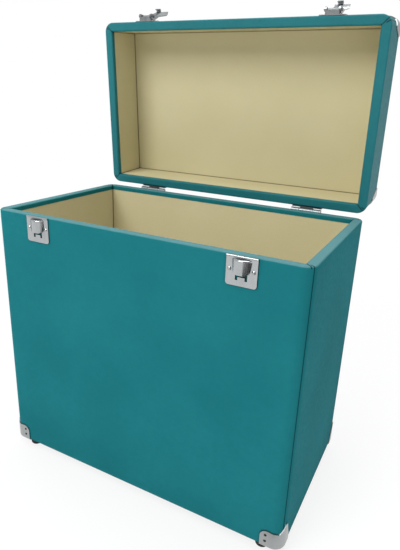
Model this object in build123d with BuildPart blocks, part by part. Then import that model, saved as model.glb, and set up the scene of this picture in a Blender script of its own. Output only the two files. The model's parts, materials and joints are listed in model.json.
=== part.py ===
from build123d import *
import os
from math import cos, radians, sin, tan

os.makedirs("parts", exist_ok=True)

# A carrying case for long-playing records: a tall wooden box and a hinged lid, both covered in leathercloth,
# with metal corners, two stop hinges, two draw latches, a carrying handle and four rubber feet.
#
# Every piece is drawn on the closed case, in millimetres: +X to the right, +Y to the back, +Z up, from the
# middle of the box's underside. It is then moved to where it stands with the lid open and the latches
# folded back.

# Box and lid
case_width = 376
case_depth = 218
base_height = 313
lid_height = 62
rim_gap = 0.4
corner_radius = 12
floor_edge_radius = 2.5
rim_edge_radius = 2
panel_thickness = 9.5
lid_top_thickness = 5.5
cover_thickness = 0.8
cover_turn_in = 6
lining_thickness = 0.6

# Metal corners
protector_thickness = 1.0
front_reach = 24
front_flange_height = 22
front_edge_height = 19.5
side_reach = 20
side_flange_height = 18
side_edge_height = 16
floor_reach = 15
flange_rounding = 8
spike_height = 30
spike_angle = 86
spike_tip = 1.3
spike_tip_rounding = 1.1
spike_foot_height = 12
spike_face_flare = 15.1
spike_end_flare = 7.8
nail_inset = 18
nail_heights = (8, 15.7)
nail_radius = 0.7
nail_length = 8
nail_head_radius = 1.6
nail_head_height = 0.9

# Feet
foot_radius = 7.5
foot_height = 10
foot_rounding = 3
foot_side_inset = 24.5
foot_front_inset = 11.5
foot_screw_radius = 1.5
foot_screw_length = 13
foot_screw_head_radius = 2.7
foot_screw_head_height = 1.6
foot_counterbore_radius = 3
foot_counterbore_depth = 5

# Hinges
lid_open_angle = 86.26
hinge_end_inset = 73
hinge_stand_off = 4.8
hinge_drop = 1.3
leaf_width = 38
leaf_height = 26
leaf_thickness = 1.2
knuckle_radius = 3.25
lid_knuckle_width = 17
knuckle_gap = 0.3
hinge_pin_radius = 1.6
pin_clearance = 0.06
stop_clearance = 0.05
stop_reach = 9
hinge_screw_spacing = 12
hinge_screw_drop = 15
hinge_screw_radius = 1.4
hinge_screw_length = 9
hinge_screw_head_radius = 2.6
hinge_screw_head_height = 1.2

# Latches, measured outwards from the front and up from the rim
latch_end_inset = 65
plate_thickness = 1.0
keeper_width = 31
keeper_height = 29
keeper_top = -0.6
keeper_roll_radius = 0.8
boss_width = 21
boss_lip_width = 14
boss_proud = 5.5
boss_rounding = 4
boss_top = -3.5
lip_height = -18
mouth_width = 12
mouth_height = 3
mouth_leg_width = 2.4
keeper_rivet_x = 12
keeper_rivet_height = -14
latch_plate_width = 30
latch_plate_bottom = 1.2
latch_plate_top = 36
latch_rivet_x = 11.8
latch_rivet_heights = (15, 31)
rivet_radius = 1.2
rivet_length = 9
rivet_head_radius = 2.0
rivet_head_height = 1.0
lever_pivot = (6.6, 4.5)
claw_pivot = (6.0, 9.6)
ear_radius = 2.2
ear_inside = 6.8
ear_thickness = 1.0
flap_top = 6.0
side_gap = 0.2
lever_thickness = 1.0
lever_hub_radius = 2.8
lever_angle = 8
lever_start = 12
lever_end = 43
lever_lip = (14.6, 46)
lever_slot_end = 22
lever_slot_width = 9.8
lever_foot_gap = 0.3
lever_pin_radius = 1.25
lever_pin_head_radius = 1.9
pin_head_height = 0.7
claw_pin_radius = 1.0
claw_pin_head_radius = 1.6
claw_hub_radius = 2.0
claw_thickness = 1.2
claw_width = 8.6
hook_width = 6.4
hook_gap = 0.3
claw_fold_angle = 163

# Handle
handle_span = 132
handle_arm_width = 11
handle_arm_thickness = 11
handle_reach = 38
grip_height = 18
grip_thickness = 14
grip_length = 96
pivot_height = 7.6
handle_pin_radius = 2
handle_pin_head_radius = 3
bracket_length = 34
bracket_width = 20
bracket_thickness = 1.6
bracket_ear_thickness = 1.5
bracket_ear_radius = 5
bracket_ear_gap = 0.3
bracket_screw_offset = 12.2
bracket_screw_radius = 1.9
bracket_screw_length = 7.2
bracket_screw_head_radius = 3.6
bracket_screw_head_height = 2.2
tee_nut_radius = 2.7
tee_nut_length = 4.2
tee_nut_flange_radius = 7.5
tee_nut_flange_thickness = 1.2

# Places worked out from the sizes above
front = -case_depth / 2
back = case_depth / 2
hinge_x = case_width / 2 - hinge_end_inset
latch_x = case_width / 2 - latch_end_inset
inside_width = case_width - 2 * (cover_thickness + panel_thickness)
inside_depth = case_depth - 2 * (cover_thickness + panel_thickness)
lid_rim = base_height + rim_gap
lid_top = lid_rim + lid_height
hinge_y = back + hinge_stand_off
hinge_z = base_height - hinge_drop
handle_z = lid_top + pivot_height
past_surface = 2  # how far a cutting block runs out past the surface it cuts


def turned(y, z, angle):
    """A turn about the line parallel to X through y and z."""
    return Location((0, y, z)) * Location((0, 0, 0), (angle, 0, 0)) * Location((0, -y, -z))


# The finished part's origin is on the floor, midway between the keepers' front and the raised lid's back.
handle_back_y = handle_reach - hinge_y
handle_back_z = handle_z + grip_thickness / 2 - hinge_z
open_angle_sine = sin(radians(lid_open_angle))
open_angle_cosine = cos(radians(lid_open_angle))
back_reach = hinge_y + handle_back_y * open_angle_cosine + handle_back_z * open_angle_sine
case_shift = -(front - boss_proud + back_reach) / 2

base_place = Location((0, case_shift, foot_height))
lid_place = base_place * turned(hinge_y, hinge_z, -lid_open_angle)
claw_turn = turned(front - claw_pivot[0], base_height + claw_pivot[1], -claw_fold_angle)
claw_place = lid_place * claw_turn


def finish(piece, name, place):
    """Moves a finished piece to where it stands, labels it and writes its STEP file."""
    piece.part.locate(place)
    piece.part.label = name
    export_step(piece.part, f"parts/{name}.step")


def facing_front(x, z, out=0.0):
    return Plane(origin=(x, front - out, z), x_dir=(1, 0, 0), z_dir=(0, -1, 0))


def facing_back(x, z, out=0.0):
    return Plane(origin=(x, back + out, z), x_dir=(-1, 0, 0), z_dir=(0, 1, 0))


def facing_down(x, y, z):
    return Plane(origin=(x, y, z), x_dir=(1, 0, 0), z_dir=(0, 0, -1))


def facing_up(x, y, z):
    return Plane(origin=(x, y, z), x_dir=(1, 0, 0), z_dir=(0, 0, 1))


def latch_section(x):
    """Upright section through a latch: local x runs outwards from the front, local y up from the rim."""
    return Plane(origin=(x, front, base_height), x_dir=(0, -1, 0), z_dir=(-1, 0, 0))


def hinge_section(x, tilt=0.0):
    """Upright section through a hinge, round its axis: local x runs to the back, local y up."""
    along = (0, cos(radians(tilt)), sin(radians(tilt)))
    return Plane(origin=(x, hinge_y, hinge_z), x_dir=along, z_dir=(1, 0, 0))


def drill(places, radius, depth):
    """Blind round holes straight down from each place, in the piece that is being built."""
    with Locations(*places):
        Hole(radius, depth)


def headed_pin(head_radius, head_height, shank_radius, shank_length, cross=False):
    """A domed head above a shank, standing on the head's seat. A cross recess makes it a screw."""
    dome_radius = (head_radius**2 + head_height**2) / (2 * head_height)
    with BuildPart() as pin:
        with Locations((0, 0, head_height - dome_radius)):
            Sphere(dome_radius)
        with BuildSketch():
            Circle(head_radius)
        extrude(amount=head_height, mode=Mode.INTERSECT)
        with BuildSketch():
            Circle(shank_radius)
        extrude(amount=-shank_length)
        if cross:
            with Locations((0, 0, head_height)):
                Box(1.3 * head_radius, 0.3 * head_radius, head_height, mode=Mode.SUBTRACT)
                Box(0.3 * head_radius, 1.3 * head_radius, head_height, mode=Mode.SUBTRACT)
    return pin.part


def set_out(name, places, piece, place):
    """A group of identical fasteners, one at each place."""
    with BuildPart() as group:
        with Locations(*places):
            add(piece)
    finish(group, name, place)


# Where the fasteners sit
def nail_places(floor_z, up):
    out = protector_thickness
    places = []
    for side in (-1, 1):
        for height in nail_heights:
            x = side * (case_width / 2 - nail_inset)
            places.append(facing_front(x, floor_z + up * height, out))
            places.append(facing_back(x, floor_z + up * height, out))
    return places


def hinge_screw_places(z):
    steps = (-hinge_screw_spacing, 0, hinge_screw_spacing)
    return [facing_back(side * hinge_x + step, z, leaf_thickness) for side in (-1, 1) for step in steps]


base_nails = nail_places(0, 1)
lid_nails = nail_places(lid_top, -1)
foot_places = [
    facing_down(x * (case_width / 2 - foot_side_inset), y * (case_depth / 2 - foot_front_inset), 0)
    for x in (-1, 1)
    for y in (-1, 1)
]
foot_screw_seat = foot_height - foot_counterbore_depth
foot_screw_places = [place.offset(foot_screw_seat) for place in foot_places]
base_hinge_screws = hinge_screw_places(hinge_z - hinge_screw_drop)
lid_hinge_screws = hinge_screw_places(hinge_z + hinge_screw_drop)
keeper_rivets = [
    facing_front(side * latch_x + offset, base_height + keeper_rivet_height, plate_thickness)
    for side in (-1, 1)
    for offset in (-keeper_rivet_x, keeper_rivet_x)
]
latch_rivets = [
    facing_front(side * latch_x + offset, base_height + height, plate_thickness)
    for side in (-1, 1)
    for offset in (-latch_rivet_x, latch_rivet_x)
    for height in latch_rivet_heights
]
bracket_screws = [
    facing_up(side * handle_span / 2 + offset, 0, lid_top + bracket_thickness)
    for side in (-1, 1)
    for offset in (-bracket_screw_offset, bracket_screw_offset)
]
tee_nut_seat = lid_top - cover_thickness - lid_top_thickness
tee_nut_places = [facing_down(place.origin.X, 0, tee_nut_seat) for place in bracket_screws]


# Box and lid. Each half runs from its floor (the lid's is its top) to its rim; up is 1 or -1 that way.
def half_block(floor_z, rim_z, grow):
    """One half of the case as a solid block with rounded edges, grown by grow."""
    up = 1 if rim_z > floor_z else -1
    with BuildPart() as block:
        with BuildSketch(Plane.XY.offset(floor_z - up * grow)):
            RectangleRounded(case_width + 2 * grow, case_depth + 2 * grow, corner_radius + grow)
        extrude(amount=rim_z - floor_z + up * grow)
        floor_face = block.faces().sort_by(Axis.Z)[0 if up > 0 else -1]
        fillet(floor_face.edges(), floor_edge_radius + grow)
    return block.part


def carcass(floor_z, rim_z, floor_thickness):
    """The five panels of one half in one piece, open at the rim."""
    up = 1 if rim_z > floor_z else -1
    with BuildPart() as body:
        add(half_block(floor_z, rim_z, -cover_thickness))
        with BuildSketch(Plane.XY.offset(rim_z)):
            Rectangle(case_width, case_depth)
        extrude(amount=-up * cover_thickness, mode=Mode.SUBTRACT)
        with BuildSketch(Plane.XY.offset(floor_z + up * (cover_thickness + floor_thickness))):
            Rectangle(inside_width, inside_depth)
        extrude(amount=rim_z - floor_z, mode=Mode.SUBTRACT)
        rim_face = body.faces().sort_by(Axis.Z)[-1 if up > 0 else 0]
        fillet(rim_face.edges(), rim_edge_radius - cover_thickness)
    return body.part


def covering(floor_z, rim_z, floor_thickness, body):
    """The leathercloth: all over the outside of one half, over the rim and a little way down the inside."""
    up = 1 if rim_z > floor_z else -1
    with BuildPart() as skin:
        add(half_block(floor_z, rim_z, 0))
        with BuildSketch(Plane.XY.offset(rim_z)):
            Rectangle(inside_width - 2 * cover_thickness, inside_depth - 2 * cover_thickness)
        extrude(amount=-up * cover_turn_in, mode=Mode.SUBTRACT)
        rim_face = skin.faces().sort_by(Axis.Z)[-1 if up > 0 else 0]
        fillet(rim_face.edges(), rim_edge_radius)
        with BuildSketch(Plane.XY.offset(floor_z + up * (cover_thickness + floor_thickness))):
            Rectangle(inside_width, inside_depth)
        extrude(
            amount=rim_z - floor_z - up * (cover_thickness + floor_thickness + cover_turn_in),
            mode=Mode.SUBTRACT,
        )
        add(body, mode=Mode.SUBTRACT)
    return skin.part


def lining(name, floor_z, rim_z, floor_thickness, place):
    """The thin lining of one half, from its floor up to the turned-in covering."""
    up = 1 if rim_z > floor_z else -1
    floor = floor_z + up * (cover_thickness + floor_thickness)
    with BuildPart() as sheet:
        with BuildSketch(Plane.XY.offset(floor)):
            Rectangle(inside_width, inside_depth)
        extrude(amount=rim_z - floor - up * cover_turn_in)
        with BuildSketch(Plane.XY.offset(floor + up * lining_thickness)):
            Rectangle(inside_width - 2 * lining_thickness, inside_depth - 2 * lining_thickness)
        extrude(amount=rim_z - floor, mode=Mode.SUBTRACT)
    finish(sheet, name, place)


def panels(prefix, floor_name, floor_z, rim_z, floor_thickness, body, holes, place):
    """The carcass cut into its floor, front, back and side panels, drilled for every fastener."""
    up = 1 if rim_z > floor_z else -1
    joint = floor_z + up * (cover_thickness + floor_thickness)
    wall_height = abs(rim_z - joint)
    wall_middle = (joint + rim_z) / 2
    floor_middle = (floor_z + joint) / 2
    floor_height = abs(joint - floor_z)
    wall = cover_thickness + panel_thickness
    end = case_width / 2 - wall / 2
    face = case_depth / 2 - wall / 2
    cuts = {
        floor_name: ((0, 0, floor_middle), (case_width, case_depth, floor_height)),
        "front": ((0, -face, wall_middle), (case_width, wall, wall_height)),
        "back": ((0, face, wall_middle), (case_width, wall, wall_height)),
        "left": ((-end, 0, wall_middle), (wall, inside_depth, wall_height)),
        "right": ((end, 0, wall_middle), (wall, inside_depth, wall_height)),
    }
    for side, (middle, size) in cuts.items():
        with BuildPart() as panel:
            add(body)
            with Locations(middle):
                Box(*size, mode=Mode.INTERSECT)
            for places, radius, depth in holes:
                drill(places, radius, depth)
        finish(panel, f"{prefix}_{side}_panel", place)


def cover(name, skin, holes, place):
    with BuildPart() as sheet:
        add(skin)
        for places, radius, depth in holes:
            drill(places, radius, depth)
    finish(sheet, name, place)


base_holes = [
    (base_nails, nail_radius, nail_length),
    (foot_screw_places, foot_screw_radius, foot_screw_length),
    (base_hinge_screws, hinge_screw_radius, hinge_screw_length),
    (keeper_rivets, rivet_radius, rivet_length),
]
lid_holes = [
    (lid_nails, nail_radius, nail_length),
    (lid_hinge_screws, hinge_screw_radius, hinge_screw_length),
    (latch_rivets, rivet_radius, rivet_length),
    (bracket_screws, bracket_screw_radius, bracket_screw_length),
    (tee_nut_places, tee_nut_flange_radius, tee_nut_flange_thickness),
    (tee_nut_places, tee_nut_radius, tee_nut_length),
]
lid_cover_holes = lid_holes[:4]

base_carcass = carcass(0, base_height, panel_thickness)
lid_carcass = carcass(lid_top, lid_rim, lid_top_thickness)
base_skin = covering(0, base_height, panel_thickness, base_carcass)
lid_skin = covering(lid_top, lid_rim, lid_top_thickness, lid_carcass)
panels("base", "bottom", 0, base_height, panel_thickness, base_carcass, base_holes, base_place)
panels("lid", "top", lid_top, lid_rim, lid_top_thickness, lid_carcass, lid_holes, lid_place)
cover("base_cover", base_skin, base_holes, base_place)
cover("lid_cover", lid_skin, lid_cover_holes, lid_place)
lining("base_lining", 0, base_height, panel_thickness, base_place)
lining("lid_lining", lid_top, lid_rim, lid_top_thickness, lid_place)


# Metal corners: three flanges that follow the case round its corner, and a spike up the rounded edge
def flange(start, direction, reach, height, edge_height):
    """Outline of one flange, from the case's edges at start: a round lobe that slopes down to the corner."""
    x0, y0 = start
    dx, dy = direction
    corners = [(reach, -past_surface), (reach, height), (-past_surface, edge_height)]
    points = [(x0 + dx * a, y0 + dy * b) for a, b in corners]
    with BuildSketch() as outline:
        with BuildLine():
            edge = FilletPolyline(*points, radius=flange_rounding)
            corner = (x0 - dx * past_surface, y0 - dy * past_surface)
            Polyline(edge @ 1, corner, edge @ 0)
        make_face()
    return outline.sketch


def spike(up):
    """Outline of the spike up the rounded edge, seen from outside. Local x runs towards the wide face."""
    points = [
        (spike_face_flare, spike_foot_height),
        (spike_tip, spike_height),
        (-spike_tip, spike_height),
        (-spike_end_flare, spike_foot_height),
    ]
    with BuildSketch() as outline:
        with BuildLine():
            edge = FilletPolyline(*[(a, up * b) for a, b in points], radius=spike_tip_rounding)
            Line(edge @ 1, edge @ 0)
        make_face()
    return outline.sketch


def protector(name, x, y, floor_z, up, inner, outer, nails, place):
    round_depth = corner_radius * (1 - cos(radians(45)))
    edge_depth = floor_edge_radius + protector_thickness
    right = x * case_width / 2
    face = y * case_depth / 2
    with BuildPart() as cap:
        with BuildSketch(Plane.XZ.offset(-(face - y * round_depth))):
            add(flange((right, floor_z), (-x, up), front_reach, front_flange_height, front_edge_height))
        extrude(amount=-y * (round_depth + past_surface))
        with BuildSketch(Plane.YZ.offset(right - x * round_depth)):
            add(flange((face, floor_z), (-y, up), side_reach, side_flange_height, side_edge_height))
        extrude(amount=x * (round_depth + past_surface))
        with BuildSketch(Plane.XY.offset(floor_z + up * edge_depth)):
            add(flange((right, face), (-x, -y), floor_reach, floor_reach, floor_reach))
        extrude(amount=-up * (edge_depth + past_surface))
        middle = (right - x * corner_radius, face - y * corner_radius, floor_z)
        to_face = (-x * cos(radians(spike_angle)), y * sin(radians(spike_angle)), 0)
        outwards = (x * sin(radians(spike_angle)), y * cos(radians(spike_angle)), 0)
        with BuildSketch(Plane(origin=middle, x_dir=to_face, z_dir=outwards)):
            add(spike(x * y * up))
        extrude(amount=corner_radius + past_surface)
        add(outer, mode=Mode.INTERSECT)
        add(inner, mode=Mode.SUBTRACT)
        drill(nails, nail_radius, nail_length)
    finish(cap, name, place)


def protectors(prefix, floor_z, rim_z, nails, place):
    up = 1 if rim_z > floor_z else -1
    inner = half_block(floor_z, rim_z, 0)
    outer = half_block(floor_z, rim_z, protector_thickness)
    for depth_name, y in (("front", -1), ("back", 1)):
        for width_name, x in (("left", -1), ("right", 1)):
            name = f"{prefix}_corner_{depth_name}_{width_name}"
            protector(name, x, y, floor_z, up, inner, outer, nails, place)


nail = headed_pin(nail_head_radius, nail_head_height, nail_radius, nail_length)
protectors("base", 0, base_height, base_nails, base_place)
protectors("lid", lid_top, lid_rim, lid_nails, lid_place)
set_out("base_corner_nails", base_nails, nail, base_place)
set_out("lid_corner_nails", lid_nails, nail, lid_place)


# Feet
foot_names = ("left_front", "left_back", "right_front", "right_back")
for foot_name, foot_place in zip(foot_names, foot_places):
    with BuildPart() as foot:
        with BuildSketch(foot_place):
            Circle(foot_radius)
        extrude(amount=foot_height)
        tread = foot.faces().sort_by(Axis.Z)[0]
        fillet(tread.edges(), foot_rounding)
        with Locations(foot_place.offset(foot_height)):
            CounterBoreHole(foot_screw_radius, foot_counterbore_radius, foot_counterbore_depth)
    finish(foot, f"foot_{foot_name}", base_place)

foot_screw = headed_pin(
    foot_screw_head_radius, foot_screw_head_height, foot_screw_radius, foot_screw_length, cross=True
)
set_out("foot_screws", foot_screw_places, foot_screw, base_place)


# Stop hinges. The lid's leaf ends in a tongue that comes to rest on the box's leaf when the lid is open.
leaf_face = leaf_thickness - hinge_stand_off
leaf_edge_x = lid_knuckle_width / 2 + knuckle_gap


def knuckle(x, width, neck_low, neck_high):
    """A rolled knuckle with the neck that joins it to its leaf."""
    with BuildSketch(hinge_section(x)) as roll:
        Circle(knuckle_radius)
        with BuildLine():
            Polyline(
                (-hinge_stand_off, neck_low),
                (0, neck_low),
                (0, neck_high),
                (-hinge_stand_off, neck_high),
                close=True,
            )
        make_face()
    extrude(roll.sketch, amount=width / 2, both=True)


def bore_knuckles(x, clearance):
    with BuildSketch(hinge_section(x)) as bore:
        Circle(hinge_pin_radius + clearance)
    extrude(bore.sketch, amount=leaf_width, both=True, mode=Mode.SUBTRACT)


for side_name, side in (("left", -1), ("right", 1)):
    x = side * hinge_x
    outer_knuckle_width = (leaf_width - lid_knuckle_width) / 2 - knuckle_gap
    outer_knuckle_x = leaf_edge_x + outer_knuckle_width / 2
    neck_top = leaf_thickness - knuckle_radius

    with BuildPart() as base_leaf:
        with BuildSketch(facing_back(x, hinge_z - leaf_height / 2)):
            Rectangle(leaf_width, leaf_height)
        extrude(amount=leaf_thickness)
        fillet(base_leaf.edges().filter_by(Axis.Y).group_by(Axis.Z)[0], leaf_thickness * 2)
        for end in (-1, 1):
            knuckle(x + end * outer_knuckle_x, outer_knuckle_width, -knuckle_radius, neck_top)
        bore_knuckles(x, 0)
        drill(base_hinge_screws, hinge_screw_radius, hinge_screw_length)
    finish(base_leaf, f"hinge_{side_name}_base_leaf", base_place)

    neck_bottom = knuckle_radius - leaf_thickness
    with BuildPart() as lid_leaf:
        with BuildSketch(facing_back(x, hinge_z + (neck_bottom + leaf_height) / 2)):
            Rectangle(leaf_width, leaf_height - neck_bottom)
        extrude(amount=leaf_thickness)
        fillet(lid_leaf.edges().filter_by(Axis.Y).group_by(Axis.Z)[-1], leaf_thickness * 2)
        knuckle(x, lid_knuckle_width, neck_bottom, knuckle_radius)
        with BuildSketch(hinge_section(x, lid_open_angle)):
            with BuildLine():
                tongue_face = leaf_face + stop_clearance
                Polyline(
                    (tongue_face, 0),
                    (tongue_face, -stop_reach),
                    (tongue_face + leaf_thickness, -stop_reach),
                    (tongue_face + leaf_thickness, 0),
                    close=True,
                )
            make_face()
        extrude(amount=lid_knuckle_width / 2, both=True)
        bore_knuckles(x, pin_clearance)
        drill(lid_hinge_screws, hinge_screw_radius, hinge_screw_length)
    finish(lid_leaf, f"hinge_{side_name}_lid_leaf", lid_place)

    with BuildPart() as hinge_pin:
        with BuildSketch(hinge_section(x)):
            Circle(hinge_pin_radius)
        extrude(amount=leaf_width / 2, both=True)
    finish(hinge_pin, f"hinge_{side_name}_pin", base_place)

hinge_screw = headed_pin(
    hinge_screw_head_radius, hinge_screw_head_height, hinge_screw_radius, hinge_screw_length, cross=True
)
set_out("hinge_base_screws", base_hinge_screws, hinge_screw, base_place)
set_out("hinge_lid_screws", lid_hinge_screws, hinge_screw, lid_place)


# Draw latches. The lever hangs on the lid's plate, the claw on the lever, and the claw hooks under the
# keeper's lip. The claw is drawn hanging, as it is when the latch is closed.
def arch(width, rise):
    """A flat-bottomed arch, as the pressed boss has across its width."""
    with BuildSketch() as outline:
        with BuildLine():
            curve = ThreePointArc((-width / 2, 0), (0, -rise), (width / 2, 0))
            Line(curve @ 1, curve @ 0)
        make_face()
    return outline.sketch


def boss_block(x, inset):
    """The keeper's pressed boss as a block, or the hollow behind it when inset by the plate's thickness."""
    top = base_height + boss_top - inset
    height = top - base_height - lip_height
    half_top = boss_width / 2 - inset
    half_lip = boss_lip_width / 2 - inset
    with BuildPart() as block:
        with BuildSketch(Plane(origin=(x, front, top), z_dir=(0, 0, 1))):
            add(arch(2 * half_top, boss_proud - inset))
        extrude(amount=-height)
        fillet(block.edges().filter_by(GeomType.CIRCLE).sort_by(Axis.Z)[-1], plate_thickness * 1.5 - inset)
        with BuildSketch(facing_front(x, top)) as shield:
            with BuildLine():
                FilletPolyline(
                    (-half_top, 0),
                    (-half_lip, -height),
                    (half_lip, -height),
                    (half_top, 0),
                    radius=boss_rounding - inset,
                )
                Line((half_top, 0), (-half_top, 0))
            make_face()
        extrude(amount=boss_proud, mode=Mode.INTERSECT)
    return block.part


def side_plates(x, inside, thickness):
    """Section planes of the two upright plates of a latch part, each at its inner face."""
    return [(latch_section(x + inside), -thickness), (latch_section(x - inside), thickness)]


lever_slope = tan(radians(lever_angle))
lever_face_out = lever_pivot[0] - 1.8
ear_outside = ear_inside + ear_thickness
flange_inside = ear_outside + side_gap
flange_outside = flange_inside + lever_thickness
claw_inner_face = claw_pivot[0] + 0.4
claw_outer_face = claw_inner_face + claw_thickness
boss_inner_rise = boss_proud - plate_thickness
hook_tip_out = boss_inner_rise - 2.1


def lever_face(height):
    """How far out the lever's outer face is at a height."""
    return lever_face_out + (height - lever_pivot[1]) * lever_slope


for side_name, side in (("left", -1), ("right", 1)):
    x = side * latch_x
    section = latch_section(x)

    with BuildPart() as keeper:
        add(boss_block(x, 0))
        middle_z = base_height + keeper_top - keeper_height / 2
        with BuildSketch(facing_front(x, middle_z)) as outline:
            Rectangle(keeper_width, keeper_height)
            fillet(outline.vertices().group_by(Axis.Y)[0], 3)
        extrude(amount=plate_thickness)
        with BuildSketch(section):
            with Locations((plate_thickness, keeper_top - keeper_roll_radius)):
                Circle(keeper_roll_radius)
        extrude(amount=keeper_width / 2, both=True)
        add(boss_block(x, plate_thickness), mode=Mode.SUBTRACT)
        with BuildSketch(facing_front(x, base_height + lip_height - mouth_height / 2)):
            Rectangle(mouth_width, mouth_height)
            leg_x = (mouth_width - mouth_leg_width) / 2
            with Locations((-leg_x, -mouth_height), (leg_x, -mouth_height)):
                Rectangle(mouth_leg_width, mouth_height)
        extrude(amount=plate_thickness, mode=Mode.SUBTRACT)
        drill(keeper_rivets, rivet_radius, rivet_length)
    finish(keeper, f"latch_{side_name}_keeper", base_place)

    with BuildPart() as latch_plate:
        plate_height = latch_plate_top - latch_plate_bottom
        with BuildSketch(facing_front(x, base_height + latch_plate_bottom + plate_height / 2)):
            RectangleRounded(latch_plate_width, plate_height, 2)
        extrude(amount=plate_thickness)
        with BuildSketch(section):
            with BuildLine():
                Polyline(
                    (0, latch_plate_bottom),
                    (flap_top, latch_plate_bottom),
                    (flap_top, latch_plate_bottom + ear_thickness),
                    (0, latch_plate_bottom + ear_thickness),
                    close=True,
                )
            make_face()
        extrude(amount=ear_outside, both=True)
        for plane, amount in side_plates(x, ear_inside, ear_thickness):
            with BuildSketch(plane):
                with BuildLine():
                    Polyline(
                        (0, latch_plate_bottom),
                        (flap_top, latch_plate_bottom),
                        (lever_pivot[0], lever_pivot[1] - ear_radius),
                        (lever_pivot[0], lever_pivot[1] + ear_radius),
                        (0, lever_pivot[1] + ear_radius + ear_thickness),
                        close=True,
                    )
                make_face()
                with Locations(lever_pivot):
                    Circle(ear_radius)
            extrude(amount=amount)
            with BuildSketch(plane):
                with Locations(lever_pivot):
                    Circle(lever_pin_radius)
            extrude(amount=amount, mode=Mode.SUBTRACT)
        drill(latch_rivets, rivet_radius, rivet_length)
    finish(latch_plate, f"latch_{side_name}_plate", lid_place)

    with BuildPart() as lever_pins:
        for end in (-1, 1):
            inner = latch_section(x + end * ear_inside)
            outer = latch_section(x + end * (flange_outside + pin_clearance))
            with BuildSketch(inner):
                with Locations(lever_pivot):
                    Circle(lever_pin_radius)
            extrude(amount=-end * (flange_outside + pin_clearance - ear_inside))
            with BuildSketch(inner):
                with Locations(lever_pivot):
                    Circle(lever_pin_head_radius)
            extrude(amount=end * pin_head_height)
            with BuildSketch(outer):
                with Locations(lever_pivot):
                    Circle(lever_pin_head_radius)
            extrude(amount=-end * pin_head_height)
    finish(lever_pins, f"latch_{side_name}_lever_pins", lid_place)

    with BuildPart() as lever:
        with BuildSketch(section):
            with BuildLine():
                FilletPolyline(
                    (lever_face(lever_start), lever_start),
                    (lever_face(lever_end), lever_end),
                    lever_lip,
                    radius=4,
                )
                offset(amount=lever_thickness, side=Side.LEFT, closed=True)
            make_face()
        extrude(amount=flange_outside, both=True)
        with BuildSketch(section):
            with Locations((lever_face(lever_slot_end), (lever_start + lever_slot_end) / 2 - 1)):
                Rectangle(4 * lever_pivot[0], lever_slot_end - lever_start + 2)
        extrude(amount=lever_slot_width / 2, both=True, mode=Mode.SUBTRACT)
        foot_out = plate_thickness + lever_foot_gap
        for plane, amount in side_plates(x, flange_inside, lever_thickness):
            with BuildSketch(plane):
                with BuildLine():
                    Polyline(
                        (foot_out, claw_pivot[1] - 1.2),
                        (foot_out, claw_pivot[1] + 1.2),
                        (lever_face(lever_slot_end) - lever_thickness, lever_slot_end),
                        (lever_face(lever_slot_end - 1), lever_slot_end - 1),
                        (lever_pivot[0] + lever_hub_radius, lever_pivot[1]),
                        (lever_pivot[0], lever_pivot[1] - lever_hub_radius),
                        close=True,
                    )
                make_face()
                with Locations(lever_pivot):
                    Circle(lever_hub_radius)
            extrude(amount=amount)
            with BuildSketch(plane):
                with Locations(lever_pivot):
                    Circle(lever_pin_radius + pin_clearance)
                with Locations(claw_pivot):
                    Circle(claw_pin_radius)
            extrude(amount=amount, mode=Mode.SUBTRACT)
    finish(lever, f"latch_{side_name}_lever", lid_place)

    with BuildPart() as claw_pin:
        with BuildSketch(section):
            with Locations(claw_pivot):
                Circle(claw_pin_radius)
        extrude(amount=flange_outside, both=True)
        for end in (-1, 1):
            with BuildSketch(latch_section(x + end * flange_outside)):
                with Locations(claw_pivot):
                    Circle(claw_pin_head_radius)
            extrude(amount=-end * pin_head_height)
    finish(claw_pin, f"latch_{side_name}_claw_pin", lid_place)

    with BuildPart() as claw:
        hook_bottom = lip_height - hook_gap - claw_thickness
        with BuildSketch(section):
            with BuildLine():
                FilletPolyline(
                    (claw_outer_face, claw_pivot[1]),
                    (claw_outer_face, hook_bottom),
                    (hook_tip_out, hook_bottom),
                    (hook_tip_out, lip_height + 1.8),
                    radius=[2.4, 1.8],
                )
                offset(amount=claw_thickness, side=Side.RIGHT, closed=True)
            make_face()
        extrude(amount=hook_width / 2, both=True)
        with BuildSketch(section):
            with BuildLine():
                shoulder = lip_height + 8
                Polyline(
                    (claw_inner_face, claw_pivot[1]),
                    (claw_inner_face, shoulder),
                    (claw_outer_face, shoulder),
                    (claw_outer_face, claw_pivot[1]),
                    close=True,
                )
            make_face()
        extrude(amount=claw_width / 2, both=True)
        with BuildSketch(section):
            with Locations(claw_pivot):
                Circle(claw_hub_radius)
        extrude(amount=ear_outside, both=True)
        with BuildSketch(section):
            with Locations(claw_pivot):
                Circle(claw_pin_radius + pin_clearance)
        extrude(amount=ear_outside, both=True, mode=Mode.SUBTRACT)
    finish(claw, f"latch_{side_name}_claw", claw_place)

rivet = headed_pin(rivet_head_radius, rivet_head_height, rivet_radius, rivet_length)
set_out("keeper_rivets", keeper_rivets, rivet, base_place)
set_out("latch_plate_rivets", latch_rivets, rivet, lid_place)


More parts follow.
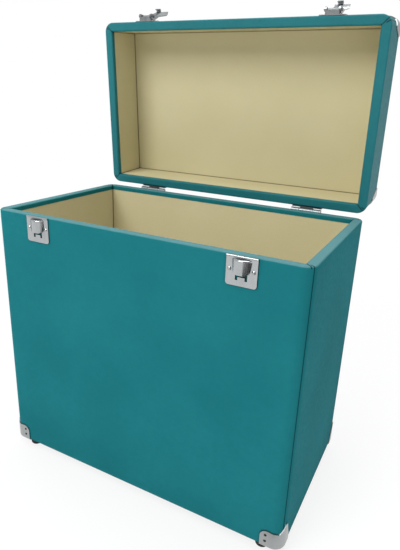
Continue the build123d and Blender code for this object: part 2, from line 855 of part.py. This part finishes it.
# Handle, lying back against the lid
with BuildPart() as handle:
    outer_x = (handle_span + handle_arm_width) / 2
    inner_x = (handle_span - handle_arm_width) / 2
    inner_y = handle_reach - grip_height
    with BuildSketch(Plane.XY.offset(handle_z)):
        with BuildLine():
            rim = FilletPolyline(
                (-outer_x, 0), (-outer_x, handle_reach), (outer_x, handle_reach), (outer_x, 0), radius=16
            )
            hollow = FilletPolyline(
                (inner_x, 0), (inner_x, inner_y), (-inner_x, inner_y), (-inner_x, 0), radius=9
            )
            Line(rim @ 1, hollow @ 0)
            Line(hollow @ 1, rim @ 0)
        make_face()
    extrude(amount=handle_arm_thickness / 2, both=True)
    fillet(handle.edges().group_by(Axis.Z)[0] + handle.edges().group_by(Axis.Z)[-1], 2)
    grip_y = handle_reach - grip_height / 2
    with BuildSketch(Plane(origin=(0, grip_y, handle_z), z_dir=(1, 0, 0), x_dir=(0, 1, 0))):
        Ellipse(grip_height / 2, grip_thickness / 2)
    extrude(amount=grip_length / 2, both=True)
    for end in (-1, 1):
        boss_plane = Plane(origin=(end * handle_span / 2, 0, handle_z), z_dir=(1, 0, 0), x_dir=(0, 1, 0))
        with BuildSketch(boss_plane):
            Circle(handle_arm_thickness / 2)
        extrude(amount=handle_arm_width / 2, both=True)
        with BuildSketch(boss_plane):
            Circle(handle_pin_radius + pin_clearance)
        extrude(amount=handle_arm_width, both=True, mode=Mode.SUBTRACT)
finish(handle, "handle_grip", lid_place)

ear_start = handle_arm_width / 2 + bracket_ear_gap
ear_end = ear_start + bracket_ear_thickness
for side_name, side in (("left", -1), ("right", 1)):
    x = side * handle_span / 2
    pivot_plane = Plane(origin=(x, 0, handle_z), z_dir=(1, 0, 0), x_dir=(0, 1, 0))
    with BuildPart() as bracket:
        with BuildSketch(Plane(origin=(x, 0, lid_top), z_dir=(0, 0, 1))):
            RectangleRounded(bracket_length, bracket_width, bracket_width / 3)
        extrude(amount=bracket_thickness)
        for end in (-1, 1):
            with BuildSketch(pivot_plane.offset(end * ear_start)):
                Circle(bracket_ear_radius)
                with Locations((0, -pivot_height / 2)):
                    Rectangle(2 * bracket_ear_radius, pivot_height)
                Circle(handle_pin_radius, mode=Mode.SUBTRACT)
            extrude(amount=end * bracket_ear_thickness)
        drill(bracket_screws, bracket_screw_radius, bracket_screw_length)
    finish(bracket, f"handle_bracket_{side_name}", lid_place)

    with BuildPart() as handle_pin:
        with BuildSketch(pivot_plane):
            Circle(handle_pin_radius)
        extrude(amount=ear_end, both=True)
        for end in (-1, 1):
            with BuildSketch(pivot_plane.offset(end * ear_end)):
                Circle(handle_pin_head_radius)
            extrude(amount=end * pin_head_height)
    finish(handle_pin, f"handle_pin_{side_name}", lid_place)

bracket_screw = headed_pin(
    bracket_screw_head_radius,
    bracket_screw_head_height,
    bracket_screw_radius,
    bracket_screw_length,
    cross=True,
)
set_out("handle_bracket_screws", bracket_screws, bracket_screw, lid_place)

with BuildPart() as tee_nut:
    with BuildSketch():
        Circle(tee_nut_flange_radius)
        Circle(bracket_screw_radius, mode=Mode.SUBTRACT)
    extrude(amount=-tee_nut_flange_thickness)
    with BuildSketch():
        Circle(tee_nut_radius)
        Circle(bracket_screw_radius, mode=Mode.SUBTRACT)
    extrude(amount=-tee_nut_length)
set_out("handle_tee_nuts", tee_nut_places, tee_nut.part, lid_place)
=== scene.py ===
import json
from math import cos, radians, sin

import bmesh
import bpy
from mathutils import Matrix, Vector


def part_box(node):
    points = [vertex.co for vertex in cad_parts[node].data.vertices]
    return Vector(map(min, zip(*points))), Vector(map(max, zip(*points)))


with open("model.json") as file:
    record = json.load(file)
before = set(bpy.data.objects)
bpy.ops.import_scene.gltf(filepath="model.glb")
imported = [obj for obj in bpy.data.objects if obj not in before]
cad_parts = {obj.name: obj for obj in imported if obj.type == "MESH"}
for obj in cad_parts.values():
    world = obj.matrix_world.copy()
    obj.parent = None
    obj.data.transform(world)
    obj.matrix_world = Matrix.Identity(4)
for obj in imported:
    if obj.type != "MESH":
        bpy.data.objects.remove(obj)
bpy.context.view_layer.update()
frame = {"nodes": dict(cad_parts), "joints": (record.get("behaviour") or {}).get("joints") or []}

mm = 0.001
nodes = frame["nodes"]


# Small helpers -------------------------------------------------------------------------------------
def colour(hex_value):
    """An sRGB hex value as linear red, green and blue, with full alpha."""
    channels = [int(hex_value[i:i + 2], 16) / 255 for i in (1, 3, 5)]
    linear = [c / 12.92 if c <= 0.04045 else ((c + 0.055) / 1.055) ** 2.4 for c in channels]
    return (*linear, 1.0)


def new_material(name):
    """A new material, its node tree and its shader."""
    material = bpy.data.materials.new(name)
    material.use_nodes = True
    return material, material.node_tree, material.node_tree.nodes["Principled BSDF"]


def add_node(tree, kind, settings=None, inputs=None):
    """Adds a node, sets its properties, and sets or links its inputs."""
    node = tree.nodes.new(kind)
    for key, value in (settings or {}).items():
        setattr(node, key, value)
    for key, value in (inputs or {}).items():
        if isinstance(value, bpy.types.NodeSocket):
            tree.links.new(value, node.inputs[key])
        else:
            node.inputs[key].default_value = value
    return node


def dress(name, material):
    """Gives a CAD node a material in every slot."""
    for material_slot in nodes[name].material_slots:
        material_slot.material = material


def flat_sheet(name, half_size, scale, place):
    """A level sheet, in metres, as an object in the scene."""
    shape = bmesh.new()
    bmesh.ops.create_grid(shape, x_segments=1, y_segments=1, size=half_size)
    bmesh.ops.scale(shape, vec=scale, verts=shape.verts)
    bmesh.ops.translate(shape, vec=place, verts=shape.verts)
    mesh = bpy.data.meshes.new(name)
    shape.to_mesh(mesh)
    shape.free()
    sheet = bpy.data.objects.new(name, mesh)
    bpy.context.scene.collection.objects.link(sheet)
    return sheet


# Where the case is ---------------------------------------------------------------------------------
box_low, box_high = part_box("base_cover")
case_middle = Vector(((box_low[0] + box_high[0]) / 2, (box_low[1] + box_high[1]) / 2, box_low[2]))
case_width = box_high[0] - box_low[0]
case_depth = box_high[1] - box_low[1]
case_height = box_high[2] - box_low[2]
lid_height = 62 * mm
rim_gap = 0.4 * mm
corner_radius = 12 * mm
covered_wall = 11.1 * mm  # a board with covering on both sides
lined_wall = 10.9 * mm  # a board with covering outside and lining inside
lined_lid_top = 6.9 * mm
seam_angle = radians(30)  # round from the end of the case
lid_open_angle = radians(86.26)
hinge = Vector(next(joint for joint in frame["joints"] if joint["name"] == "lid_hinge")["pos_m"])
lid_turn = Matrix.Rotation(lid_open_angle, 4, "X")
shut_lid = Matrix.Translation(hinge) @ lid_turn @ Matrix.Translation(-hinge)
shut_lid_move = (Matrix.Translation(-case_middle) @ shut_lid).translation


def shut_coordinates(tree, on_lid):
    """Object coordinates of the shut case, from the middle of its underside, in metres."""
    place = add_node(tree, "ShaderNodeTexCoord").outputs["Object"]
    moved = {"Vector": place, "Location": tuple(-case_middle)}
    if on_lid:
        moved["Location"] = tuple(shut_lid_move)
        moved["Rotation"] = (lid_open_angle, 0, 0)
    return add_node(tree, "ShaderNodeMapping", inputs=moved).outputs["Vector"]


# Materials -----------------------------------------------------------------------------------------
cloth_dark = colour("#17656C")
cloth_light = colour("#247B82")
line_core = 0.35 * mm
line_edge = 0.9 * mm
diagonal = (0.7071, -0.7071, 0.0)


def dark_line(tree, at, place, across, where):
    """1 along the upright plane through place and square to across, 0 beyond the line's edge, and only
    where that socket is 1."""
    away = add_node(tree, "ShaderNodeVectorMath", {"operation": "SUBTRACT"}, {0: at, 1: place})
    off_line = add_node(
        tree, "ShaderNodeVectorMath", {"operation": "DOT_PRODUCT"}, {0: away.outputs[0], 1: across}
    )
    gap = add_node(tree, "ShaderNodeMath", {"operation": "ABSOLUTE"}, {0: off_line.outputs["Value"]})
    ink = add_node(
        tree,
        "ShaderNodeMapRange",
        inputs={
            "Value": gap.outputs[0],
            "From Min": line_core,
            "From Max": line_edge,
            "To Min": 1.0,
            "To Max": 0.0,
        },
    )
    line = add_node(
        tree, "ShaderNodeMath", {"operation": "MULTIPLY"}, {0: ink.outputs[0], 1: where.outputs[0]}
    )
    return line.outputs[0]


def leathercloth(name, on_lid, rim_highlight_strength, specular):
    """PVC leathercloth glued over board, embossed with a fine hide grain: satin and even in colour, with a
    dark line where two edges butt, painted shade in its hollows and along the edges of metal lying on it,
    and, on the box, a painted highlight along the flat of the rim. The real grain is about 0.6 mm, drawn at
    about 1.1 mm so that it shows."""
    material, tree, shader = new_material(name)
    at = shut_coordinates(tree, on_lid)
    pebbles = add_node(
        tree,
        "ShaderNodeTexVoronoi",
        {"feature": "DISTANCE_TO_EDGE"},
        {"Vector": at, "Scale": 900.0, "Randomness": 1.0},
    )
    wrinkles = add_node(
        tree,
        "ShaderNodeTexNoise",
        inputs={"Vector": at, "Scale": 420.0, "Detail": 3.0, "Roughness": 0.6, "Distortion": 0.3},
    )
    clouds = add_node(
        tree, "ShaderNodeTexNoise", inputs={"Vector": at, "Scale": 9.0, "Detail": 2.0, "Roughness": 0.5}
    )
    mottle = add_node(
        tree, "ShaderNodeTexNoise", inputs={"Vector": at, "Scale": 160.0, "Detail": 2.0, "Roughness": 0.6}
    )
    valley = add_node(
        tree,
        "ShaderNodeMapRange",
        inputs={"Value": pebbles.outputs["Distance"], "From Min": 0.0, "From Max": 0.16},
    )
    even = add_node(
        tree,
        "ShaderNodeMix",
        {"data_type": "RGBA"},
        {"Factor": clouds.outputs["Fac"], "A": cloth_dark, "B": cloth_light},
    )
    mottle_level = add_node(
        tree,
        "ShaderNodeMapRange",
        inputs={
            "Value": mottle.outputs["Fac"],
            "From Min": 0.3,
            "From Max": 0.7,
            "To Min": 0.0,
            "To Max": 0.22,
        },
    )
    mottled = add_node(
        tree,
        "ShaderNodeMix",
        {"data_type": "RGBA"},
        {"Factor": mottle_level.outputs["Result"], "A": even.outputs["Result"], "B": cloth_dark},
    )

    # The seam up each rounded corner, and the mitre across each corner of the rim.
    across = add_node(tree, "ShaderNodeVectorMath", {"operation": "ABSOLUTE"}, {0: at})
    across_parts = add_node(tree, "ShaderNodeSeparateXYZ", inputs={0: across.outputs[0]})
    corner_middle = (case_width / 2 - corner_radius, case_depth / 2 - corner_radius, 0.0)
    on_corner = add_node(
        tree,
        "ShaderNodeMath",
        {"operation": "GREATER_THAN"},
        {0: across_parts.outputs["X"], 1: corner_middle[0] + 0.5 * corner_radius},
    )
    seam = dark_line(
        tree, across.outputs[0], corner_middle, (-sin(seam_angle), cos(seam_angle), 0.0), on_corner
    )
    parts = add_node(tree, "ShaderNodeSeparateXYZ", inputs={0: at})
    on_rim = add_node(
        tree,
        "ShaderNodeMath",
        {"operation": "COMPARE"},
        {0: parts.outputs["Z"], 1: case_height, 2: 2.0 * mm},
    )
    mitre_start = (case_width / 2 - covered_wall, case_depth / 2 - covered_wall, 0.0)
    mitre = dark_line(tree, across.outputs[0], mitre_start, diagonal, on_rim)
    joints = add_node(tree, "ShaderNodeMath", {"operation": "MAXIMUM"}, {0: seam, 1: mitre})

    # Painted highlight: the flat of the box's rim is painted paler, for the light from above falling on it.
    painted_rim_highlight = add_node(
        tree,
        "ShaderNodeMapRange",
        inputs={
            "Value": parts.outputs["Z"],
            "From Min": case_height - 1.2 * mm,
            "From Max": case_height - 0.2 * mm,
            "To Min": 0.0,
            "To Max": rim_highlight_strength,
        },
    )
    rim_highlighted = add_node(
        tree,
        "ShaderNodeMix",
        {"data_type": "RGBA"},
        {"Factor": painted_rim_highlight.outputs["Result"], "A": mottled.outputs["Result"], "B": colour("#A4B2B1")},
    )
    seamed = add_node(
        tree,
        "ShaderNodeMix",
        {"data_type": "RGBA"},
        {"Factor": joints.outputs[0], "A": rim_highlighted.outputs["Result"], "B": colour("#07383C")},
    )
    # Painted shade: the cloth darkens in its hollows, in the keepers' slots and along the edges of the metal
    # on it.
    cloth_contact_shade = add_node(tree, "ShaderNodeAmbientOcclusion", {"samples": 8}, {"Distance": 5.0 * mm})
    open_cloth = add_node(
        tree,
        "ShaderNodeMapRange",
        inputs={
            "Value": cloth_contact_shade.outputs["AO"],
            "From Min": 0.45,
            "From Max": 0.92,
            "To Min": 0.0,
            "To Max": 1.0,
        },
    )
    shaded = add_node(
        tree,
        "ShaderNodeMix",
        {"data_type": "RGBA"},
        {"Factor": open_cloth.outputs["Result"], "A": colour("#021214"), "B": seamed.outputs["Result"]},
    )
    grain_height = add_node(
        tree,
        "ShaderNodeMath",
        {"operation": "ADD"},
        {0: valley.outputs["Result"], 1: wrinkles.outputs["Fac"]},
    )
    seam_cut = add_node(
        tree, "ShaderNodeMath", {"operation": "SUBTRACT"}, {0: grain_height.outputs[0], 1: joints.outputs[0]}
    )
    bump = add_node(
        tree, "ShaderNodeBump", inputs={"Strength": 0.3, "Distance": 0.0002, "Height": seam_cut.outputs[0]}
    )
    gloss = add_node(
        tree,
        "ShaderNodeMapRange",
        inputs={
            "Value": mottle.outputs["Fac"],
            "From Min": 0.2,
            "From Max": 0.8,
            "To Min": 0.5,
            "To Max": 0.66,
        },
    )
    tree.links.new(shaded.outputs["Result"], shader.inputs["Base Color"])
    tree.links.new(gloss.outputs["Result"], shader.inputs["Roughness"])
    tree.links.new(bump.outputs["Normal"], shader.inputs["Normal"])
    shader.inputs["IOR"].default_value = 1.5
    shader.inputs["Specular IOR Level"].default_value = specular
    return material


def lining_paper(name, on_lid, floor_height):
    """Flocked lining paper: quite matt, with a fine felted nap, and painted shade along the inner corners
    where it is folded."""
    material, tree, shader = new_material(name)
    at = shut_coordinates(tree, on_lid)
    nap = add_node(
        tree, "ShaderNodeTexNoise", inputs={"Vector": at, "Scale": 1300.0, "Detail": 2.0, "Roughness": 0.7}
    )
    patches = add_node(
        tree, "ShaderNodeTexNoise", inputs={"Vector": at, "Scale": 11.0, "Detail": 3.0, "Roughness": 0.5}
    )
    tone = add_node(
        tree,
        "ShaderNodeMix",
        {"data_type": "RGBA"},
        {"Factor": patches.outputs["Fac"], "A": colour("#C9C098"), "B": colour("#D6CEAA")},
    )
    nap_level = add_node(
        tree,
        "ShaderNodeMapRange",
        inputs={
            "Value": nap.outputs["Fac"],
            "From Min": 0.3,
            "From Max": 0.7,
            "To Min": 0.0,
            "To Max": 0.2,
        },
    )
    speckled = add_node(
        tree,
        "ShaderNodeMix",
        {"data_type": "RGBA"},
        {"Factor": nap_level.outputs["Result"], "A": tone.outputs["Result"], "B": colour("#AFA57C")},
    )

    # How far a point is from the nearest fold: the middle one of its distances to the inner faces.
    inner_faces = (case_width / 2 - lined_wall, case_depth / 2 - lined_wall, 0.0)
    across = add_node(tree, "ShaderNodeVectorMath", {"operation": "ABSOLUTE"}, {0: at})
    inwards = add_node(
        tree, "ShaderNodeVectorMath", {"operation": "SUBTRACT"}, {0: inner_faces, 1: across.outputs[0]}
    )
    gaps = add_node(tree, "ShaderNodeSeparateXYZ", inputs={0: inwards.outputs[0]})
    parts = add_node(tree, "ShaderNodeSeparateXYZ", inputs={0: at})
    above = add_node(
        tree, "ShaderNodeMath", {"operation": "SUBTRACT"}, {0: parts.outputs["Z"], 1: floor_height}
    )
    off_floor = add_node(tree, "ShaderNodeMath", {"operation": "ABSOLUTE"}, {0: above.outputs[0]})
    nearer = add_node(
        tree, "ShaderNodeMath", {"operation": "MINIMUM"}, {0: gaps.outputs["X"], 1: gaps.outputs["Y"]}
    )
    farther = add_node(
        tree, "ShaderNodeMath", {"operation": "MAXIMUM"}, {0: gaps.outputs["X"], 1: gaps.outputs["Y"]}
    )
    other = add_node(
        tree, "ShaderNodeMath", {"operation": "MINIMUM"}, {0: farther.outputs[0], 1: off_floor.outputs[0]}
    )
    fold_gap = add_node(
        tree, "ShaderNodeMath", {"operation": "MAXIMUM"}, {0: nearer.outputs[0], 1: other.outputs[0]}
    )
    # Painted shade: darker within about 1.5 mm of an inner corner, where the corner's shade falls.
    lining_corner_shade = add_node(
        tree,
        "ShaderNodeMapRange",
        inputs={
            "Value": fold_gap.outputs[0],
            "From Min": 0.4 * mm,
            "From Max": 1.5 * mm,
            "To Min": 0.75,
            "To Max": 0.0,
        },
    )
    lining_corner_shaded = add_node(
        tree,
        "ShaderNodeMix",
        {"data_type": "RGBA"},
        {"Factor": lining_corner_shade.outputs["Result"], "A": speckled.outputs["Result"], "B": colour("#5A5136")},
    )
    bump = add_node(
        tree, "ShaderNodeBump", inputs={"Strength": 0.25, "Distance": 0.0002, "Height": nap.outputs["Fac"]}
    )
    tree.links.new(lining_corner_shaded.outputs["Result"], shader.inputs["Base Color"])
    tree.links.new(bump.outputs["Normal"], shader.inputs["Normal"])
    shader.inputs["Roughness"].default_value = 0.92
    shader.inputs["Specular IOR Level"].default_value = 0.2
    return material


def plated_steel(name, bright_hex, dull_hex, rough_low, rough_high, streak_scale):
    """Pressed sheet steel with a satin nickel plate: a blurred grey mirror with faint wipe marks, and
    painted shade in crevices and where pieces meet."""
    material, tree, shader = new_material(name)
    at = add_node(tree, "ShaderNodeTexCoord").outputs["Object"]
    stretch = add_node(tree, "ShaderNodeMapping", inputs={"Vector": at, "Scale": (1.0, 0.35, 0.35)})
    smears = add_node(
        tree,
        "ShaderNodeTexNoise",
        inputs={
            "Vector": stretch.outputs["Vector"],
            "Scale": streak_scale,
            "Detail": 4.0,
            "Roughness": 0.65,
        },
    )
    dents = add_node(
        tree, "ShaderNodeTexNoise", inputs={"Vector": at, "Scale": 260.0, "Detail": 1.0, "Roughness": 0.4}
    )
    rough = add_node(
        tree,
        "ShaderNodeMapRange",
        inputs={
            "Value": smears.outputs["Fac"],
            "From Min": 0.3,
            "From Max": 0.7,
            "To Min": rough_low,
            "To Max": rough_high,
        },
    )
    tone = add_node(
        tree,
        "ShaderNodeMix",
        {"data_type": "RGBA"},
        {"Factor": smears.outputs["Fac"], "A": colour(dull_hex), "B": colour(bright_hex)},
    )
    # Painted shade: darker in crevices and where pieces meet.
    crevice_shade = add_node(tree, "ShaderNodeAmbientOcclusion", {"samples": 8}, {"Distance": 2.5 * mm})
    open_metal = add_node(
        tree,
        "ShaderNodeMapRange",
        inputs={
            "Value": crevice_shade.outputs["AO"],
            "From Min": 0.25,
            "From Max": 0.85,
            "To Min": 0.0,
            "To Max": 1.0,
        },
    )
    crevice_shaded = add_node(
        tree,
        "ShaderNodeMix",
        {"data_type": "RGBA"},
        {"Factor": open_metal.outputs["Result"], "A": colour("#3C3E3F"), "B": tone.outputs["Result"]},
    )
    bump = add_node(
        tree, "ShaderNodeBump", inputs={"Strength": 0.12, "Distance": 0.0002, "Height": dents.outputs["Fac"]}
    )
    tree.links.new(crevice_shaded.outputs["Result"], shader.inputs["Base Color"])
    tree.links.new(rough.outputs["Result"], shader.inputs["Roughness"])
    tree.links.new(bump.outputs["Normal"], shader.inputs["Normal"])
    shader.inputs["Metallic"].default_value = 1.0
    return material


def fibreboard(name):
    """Medium-density fibreboard, sawn: matt brown with fine fibres."""
    material, tree, shader = new_material(name)
    at = add_node(tree, "ShaderNodeTexCoord").outputs["Object"]
    fibres = add_node(
        tree, "ShaderNodeTexNoise", inputs={"Vector": at, "Scale": 900.0, "Detail": 5.0, "Roughness": 0.7}
    )
    tone = add_node(
        tree,
        "ShaderNodeMix",
        {"data_type": "RGBA"},
        {"Factor": fibres.outputs["Fac"], "A": colour("#8F7350"), "B": colour("#BFA47C")},
    )
    tree.links.new(tone.outputs["Result"], shader.inputs["Base Color"])
    shader.inputs["Roughness"].default_value = 0.85
    return material


def moulded_rubber(name):
    """Moulded black rubber: matt, very slightly pitted, and a shade greyer on its high spots."""
    material, tree, shader = new_material(name)
    at = add_node(tree, "ShaderNodeTexCoord").outputs["Object"]
    pits = add_node(
        tree, "ShaderNodeTexNoise", inputs={"Vector": at, "Scale": 700.0, "Detail": 3.0, "Roughness": 0.6}
    )
    tone = add_node(
        tree,
        "ShaderNodeMix",
        {"data_type": "RGBA"},
        {"Factor": pits.outputs["Fac"], "A": colour("#0B0C0C"), "B": colour("#1A1B1B")},
    )
    bump = add_node(
        tree, "ShaderNodeBump", inputs={"Strength": 0.3, "Distance": 0.0002, "Height": pits.outputs["Fac"]}
    )
    tree.links.new(tone.outputs["Result"], shader.inputs["Base Color"])
    tree.links.new(bump.outputs["Normal"], shader.inputs["Normal"])
    shader.inputs["Roughness"].default_value = 0.75
    return material


box_floor_height = lined_wall  # its floor is as thick as its walls
lid_floor_height = case_height + rim_gap + lid_height - lined_lid_top

# The box's cloth gets a painted highlight along the flat of its rim; the lid's cloth gets none.
box_cloth = leathercloth("box_leathercloth", False, 0.22, 0.008)
lid_cloth = leathercloth("lid_leathercloth", True, 0.0, 0.2)
box_lining = lining_paper("box_lining_paper", False, box_floor_height)
lid_lining = lining_paper("lid_lining_paper", True, lid_floor_height)
# Bright and softly streaked, for the latches and the handle's brackets.
nickel = plated_steel("satin_nickel_plate", "#C4C7C8", "#9DA1A3", 0.14, 0.26, 90.0)
# Even and pale grey, for the metal corners.
cap_nickel = plated_steel("brushed_nickel_plate", "#B4B6B6", "#969A9A", 0.3, 0.42, 60.0)
# Darker and duller, for the claws and the hinges.
dull_nickel = plated_steel("dull_nickel_plate", "#8C9092", "#74787A", 0.28, 0.4, 60.0)
# Plain grey, for pins and screws; then near black for the nails, a painted shade for the shadows on and
# around their heads.
pin_steel = plated_steel("turned_steel_pin", "#85898B", "#6C7072", 0.3, 0.4, 200.0)
shade_dark_nail_steel = plated_steel("near_black_nail_painted_shade", "#4A4B4B", "#343535", 0.3, 0.45, 200.0)
board = fibreboard("sawn_fibreboard")
rubber = moulded_rubber("moulded_rubber")

# The first of these marks that is found in a node's name gives its finish.
finishes = {
    "_panel": board,
    "base_lining": box_lining,
    "lid_lining": lid_lining,
    "base_cover": box_cloth,
    "lid_cover": lid_cloth,
    "handle_grip": lid_cloth,
    "_corner_nails": shade_dark_nail_steel,
    "_corner_": cap_nickel,
    "foot_screws": pin_steel,
    "foot_": rubber,
    "_claw_pin": pin_steel,
    "_pins": pin_steel,
    "_pin_": pin_steel,
    "_claw": dull_nickel,
    "hinge_": dull_nickel,
    "tee_nuts": pin_steel,
    "": nickel,
}
for name in nodes:
    dress(name, next(material for mark, material in finishes.items() if mark in name))


# Stage, light and camera ---------------------------------------------------------------------------
shadow_reach = 0.35
white_reach = 1.3
bright_side = (-0.6, 0.6, 0.5)
frame_width = 400
frame_height = 550
focal_length = 498.11  # this and the optical middle are in pixels of the frame
optical_middle = (197.97, 266.05)
camera_from_case = Vector((280.95, -502.47, 447.03)) * mm


def make_stage():
    """A pale floor that turns white away from the case, where the camera or a polished piece sees it."""
    floor = flat_sheet("floor", 40.0, (1.0, 1.0, 1.0), (0.0, 0.0, 0.0))
    material, tree, shader = new_material("pale_floor")
    shader.inputs["Base Color"].default_value = colour("#F2F2F2")
    shader.inputs["Roughness"].default_value = 0.9
    shader.inputs["Specular IOR Level"].default_value = 0.0
    path = add_node(tree, "ShaderNodeLightPath")
    seen = add_node(
        tree,
        "ShaderNodeMath",
        {"operation": "MAXIMUM"},
        {0: path.outputs["Is Camera Ray"], 1: path.outputs["Is Glossy Ray"]},
    )
    place = add_node(tree, "ShaderNodeTexCoord")
    reach = add_node(tree, "ShaderNodeVectorMath", {"operation": "LENGTH"}, {0: place.outputs["Object"]})
    whiter = add_node(
        tree,
        "ShaderNodeMapRange",
        {"interpolation_type": "SMOOTHSTEP"},
        {
            "Value": reach.outputs["Value"],
            "From Min": shadow_reach,
            "From Max": white_reach,
            "To Min": 0.8,
            "To Max": 1.0,
        },
    )
    share = add_node(
        tree, "ShaderNodeMath", {"operation": "MULTIPLY"}, {0: seen.outputs[0], 1: whiter.outputs["Result"]}
    )
    white = add_node(tree, "ShaderNodeEmission", inputs={"Color": (1, 1, 1, 1), "Strength": 1.0})
    mix = add_node(
        tree,
        "ShaderNodeMixShader",
        inputs={0: share.outputs[0], 1: shader.outputs["BSDF"], 2: white.outputs["Emission"]},
    )
    tree.links.new(mix.outputs["Shader"], tree.nodes["Material Output"].inputs["Surface"])
    floor.data.materials.append(material)


def make_world():
    """A pale studio: white to the camera. It lights the case from behind and the left more than from the
    right and the camera's side."""
    world = bpy.data.worlds.new("studio")
    bpy.context.scene.world = world
    world.use_nodes = True
    tree = world.node_tree
    tree.nodes.clear()
    path = add_node(tree, "ShaderNodeLightPath")
    place = add_node(tree, "ShaderNodeTexCoord")
    towards = add_node(
        tree,
        "ShaderNodeVectorMath",
        {"operation": "DOT_PRODUCT"},
        {0: place.outputs["Generated"], 1: bright_side},
    )
    level = add_node(
        tree,
        "ShaderNodeMapRange",
        inputs={
            "Value": towards.outputs["Value"],
            "From Min": -0.5,
            "From Max": 0.6,
            "To Min": 0.16,
            "To Max": 0.8,
        },
    )
    fill = add_node(
        tree, "ShaderNodeBackground", inputs={"Color": (1, 1, 1, 1), "Strength": level.outputs["Result"]}
    )
    seen_white = add_node(tree, "ShaderNodeBackground", inputs={"Color": (1, 1, 1, 1), "Strength": 1.0})
    mix = add_node(
        tree,
        "ShaderNodeMixShader",
        inputs={
            0: path.outputs["Is Camera Ray"],
            1: fill.outputs["Background"],
            2: seen_white.outputs["Background"],
        },
    )
    output = add_node(tree, "ShaderNodeOutputWorld")
    tree.links.new(mix.outputs["Shader"], output.inputs["Surface"])


def soft_box(name, place, target, size, power):
    """A square studio lamp at place, pointed at target, all in metres."""
    lamp = bpy.data.lights.new(name, "AREA")
    lamp.shape = "SQUARE"
    lamp.size = size
    lamp.energy = power
    lamp_object = bpy.data.objects.new(name, lamp)
    bpy.context.scene.collection.objects.link(lamp_object)
    lamp_object.location = place
    aim = Vector(target) - Vector(place)
    lamp_object.rotation_euler = aim.to_track_quat("-Z", "Y").to_euler()


def make_flag():
    """A black card on the floor at the right, seen only in reflections. It gives the metal its dark side."""
    card = flat_sheet("black_card", 0.5, (1.1, 1.0, 1.0), (0.71, -0.68, 0.002))
    material, _, shader = new_material("black_card")
    shader.inputs["Base Color"].default_value = colour("#101010")
    shader.inputs["Roughness"].default_value = 1.0
    card.data.materials.append(material)
    card.visible_camera = False
    card.visible_diffuse = False
    card.visible_shadow = False


def make_camera():
    """The camera, with its optical middle a little off the frame's middle."""
    turn = radians(27.23)
    dip = radians(19.05)
    roll = radians(2.26)
    ahead = Vector((-sin(turn) * cos(dip), cos(turn) * cos(dip), -sin(dip)))
    level_right = Vector((cos(turn), sin(turn), 0))
    level_up = level_right.cross(ahead)
    right = cos(roll) * level_right + sin(roll) * level_up
    up = cos(roll) * level_up - sin(roll) * level_right
    place = case_middle + camera_from_case
    camera = bpy.data.cameras.new("camera")
    camera.sensor_fit = "AUTO"
    camera.sensor_width = 36
    camera.lens = focal_length / frame_height * camera.sensor_width
    camera.shift_x = (frame_width / 2 - optical_middle[0]) / frame_height
    camera.shift_y = (optical_middle[1] - frame_height / 2) / frame_height
    camera.clip_start = 0.01
    camera_object = bpy.data.objects.new("camera", camera)
    bpy.context.scene.collection.objects.link(camera_object)
    turned = Matrix((right, up, -ahead)).transposed().to_4x4()
    camera_object.matrix_world = Matrix.Translation(place) @ turned
    bpy.context.scene.camera = camera_object


make_stage()
make_flag()
make_world()
soft_box("key", (-0.6, -1.65, 1.75), (0, 0, 0.25), 1.2, 34)
soft_box("top", (0.2, 0.3, 2.3), (0, 0, 0.3), 1.6, 28)
soft_box("side", (1.9, -0.5, 1.0), (0, 0, 0.25), 1.0, 5)
make_camera()
bpy.context.scene.view_settings.view_transform = "Standard"
